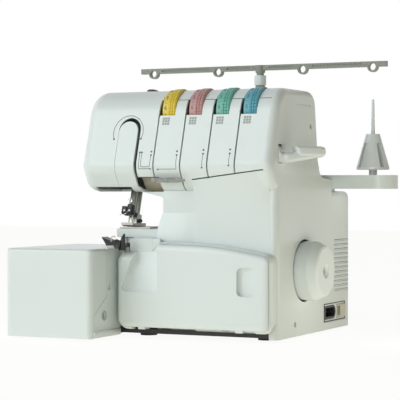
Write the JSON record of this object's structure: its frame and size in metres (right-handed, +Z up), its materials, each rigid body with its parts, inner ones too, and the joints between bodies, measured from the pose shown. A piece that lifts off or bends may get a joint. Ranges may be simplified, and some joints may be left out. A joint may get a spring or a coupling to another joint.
{
  "type": "overlock sewing machine",
  "caption": "Domestic overlock sewing machine: white covers, coloured thread tension dials, looper cover, handwheel, spool tray and rising thread tree.",
  "frame": {"origin": "middle of the footprint, on the table under the feet", "axes": "+Z up, +X along the machine towards the handwheel end, -Y towards the user"},
  "size_m": [0.35, 0.277, 0.2957],
  "materials": {
    "body_plastic": "smooth white moulded plastic, satin gloss",
    "dark_plastic": "black moulded plastic",
    "rubber": "black rubber",
    "casting": "grey cast frame",
    "steel": "ground steel",
    "black_metal": "black finished metal",
    "grey_plastic": "warm grey plastic",
    "switch_plastic": "pale grey plastic",
    "yellow_dial": "yellow plastic",
    "pink_dial": "pink plastic",
    "green_dial": "green plastic",
    "blue_dial": "blue plastic"
  },
  "bodies": {
    "body": {"base_pan": "dark_plastic", "rubber_feet": "rubber", "frame_casting": "casting", "right_cover": "body_plastic", "column_front_panel": "body_plastic", "neck_cover": "body_plastic", "rear_cover": "body_plastic", "head_face_cover": "body_plastic", "head_top_cover": "body_plastic", "head_under_cover": "body_plastic", "take_up_cover": "body_plastic", "thread_guide": "steel", "bed_cover": "body_plastic", "needle_plate": "steel", "extension_bracket": "body_plastic", "pivot_pins": "steel", "presser_spring": "steel", "lower_knife": "steel", "drive_belt": "rubber", "motor": "black_metal", "tension_units": "steel", "power_inlet": "dark_plastic", "spool_tray": "body_plastic", "spool_pins": "body_plastic", "cone_holders": "body_plastic", "tree_tube": "grey_plastic", "tree_collar": "body_plastic", "cover_screws": "steel", "tension_panel_1": "body_plastic", "tension_panel_2": "body_plastic", "tension_panel_3": "body_plastic", "tension_panel_4": "body_plastic"},
    "cover_carriage": {"cover_hinge_rod": "steel"},
    "looper_cover": {"front_cover": "body_plastic"},
    "bed_extension": {"extension_box": "body_plastic"},
    "needle_drive": {"needle_bar": "steel", "needle_clamp": "black_metal", "clamp_screw": "steel", "needles": "steel"},
    "presser": {"presser_bar": "steel", "presser_foot": "steel"},
    "pressure_screw": {"pressure_knob": "grey_plastic"},
    "lower_looper_arm": {"lower_looper": "steel"},
    "upper_looper_arm": {"upper_looper": "steel"},
    "knife_lever": {"knife_arm": "black_metal", "upper_knife": "steel"},
    "feed": {"feed_dog": "steel"},
    "drive_shaft": {"handwheel": "body_plastic", "main_shaft": "steel", "drive_pulley": "grey_plastic"},
    "motor_rotor": {"motor_pulley": "grey_plastic"},
    "lifter": {"lifter_lever": "body_plastic"},
    "rocker": {"power_switch": "switch_plastic"},
    "thread_tree": {"tree_rod": "grey_plastic", "tree_bar": "grey_plastic"},
    "dial_1": {"tension_dial_1": "yellow_dial"},
    "dial_2": {"tension_dial_2": "pink_dial"},
    "dial_3": {"tension_dial_3": "green_dial"},
    "dial_4": {"tension_dial_4": "blue_dial"}
  },
  "joints": [
    {"name": "handwheel_turn", "type": "hinge", "parent": "body", "child": "drive_shaft", "pos_m": [0.107, 0.001, 0.07], "axis": [1, 0, 0], "continuous": true},
    {"name": "motor_turn", "type": "hinge", "parent": "body", "child": "motor_rotor", "pos_m": [0.093, 0.0925, 0.055], "axis": [1, 0, 0], "continuous": true},
    {"name": "cover_slide", "type": "slide", "parent": "body", "child": "cover_carriage", "axis": [1, 0, 0], "range_m": [0, 0.009]},
    {"name": "cover_open", "type": "hinge", "parent": "cover_carriage", "child": "looper_cover", "pos_m": [0.107, -0.0815, 0.015], "axis": [1, 0, 0], "range_deg": [0, 85]},
    {"name": "extension_slide", "type": "slide", "parent": "body", "child": "bed_extension", "axis": [-1, 0, 0], "range_m": [0, 0.06]},
    {"name": "needle_bar_stroke", "type": "slide", "parent": "body", "child": "needle_drive", "axis": [0, 0.2924, 0.9563], "range_m": [0, 0.022]},
    {"name": "lifter_turn", "type": "hinge", "parent": "body", "child": "lifter", "pos_m": [0.093, -0.0645, 0.188], "axis": [0, -1, 0], "range_deg": [0, 25]},
    {"name": "presser_lift", "type": "slide", "parent": "body", "child": "presser", "axis": [0, 0.2924, 0.9563], "range_m": [0, 0.006]},
    {"name": "pressure_turn", "type": "hinge", "parent": "body", "child": "pressure_screw", "pos_m": [-0.07, -0.03746, 0.14793], "axis": [0, 0.2924, 0.9563], "range_deg": [-180, 180]},
    {"name": "lower_looper_swing", "type": "hinge", "parent": "body", "child": "lower_looper_arm", "pos_m": [-0.011, -0.0465, 0.062], "axis": [0, 1, 0], "range_deg": [-8, 8]},
    {"name": "upper_looper_swing", "type": "hinge", "parent": "body", "child": "upper_looper_arm", "pos_m": [0.001, -0.0565, 0.036], "axis": [0, 1, 0], "range_deg": [-8, 8]},
    {"name": "knife_swing", "type": "hinge", "parent": "body", "child": "knife_lever", "pos_m": [-0.069, -0.0325, 0.07], "axis": [-1, 0, 0], "range_deg": [0, 8]},
    {"name": "feed_travel", "type": "slide", "parent": "body", "child": "feed", "axis": [0, 1, 0], "range_m": [-0.0025, 0.0025]},
    {"name": "switch_rock", "type": "hinge", "parent": "body", "child": "rocker", "pos_m": [0.0988, 0.1105, 0.0134], "axis": [0, 0, 1], "range_deg": [0, 14]},
    {"name": "tree_raise", "type": "slide", "parent": "body", "child": "thread_tree", "axis": [0, 0, 1], "range_m": [0, 0.09]},
    {"name": "dial_1_turn", "type": "hinge", "parent": "body", "child": "dial_1", "pos_m": [-0.0232, -0.0491, 0.2363], "axis": [1, 0, 0], "range_deg": [-140, 140]},
    {"name": "dial_2_turn", "type": "hinge", "parent": "body", "child": "dial_2", "pos_m": [0.0076, -0.0491, 0.2363], "axis": [1, 0, 0], "range_deg": [-140, 140]},
    {"name": "dial_3_turn", "type": "hinge", "parent": "body", "child": "dial_3", "pos_m": [0.0384, -0.0491, 0.2363], "axis": [1, 0, 0], "range_deg": [-140, 140]},
    {"name": "dial_4_turn", "type": "hinge", "parent": "body", "child": "dial_4", "pos_m": [0.0692, -0.0491, 0.2363], "axis": [1, 0, 0], "range_deg": [-140, 140]}
  ],
  "couplings": [
    {"joint": "motor_turn", "follows": "handwheel_turn", "ratio": 3},
    {"joint": "lifter_turn", "follows": "presser_lift", "rad_per_m": 72.722}
  ]
}
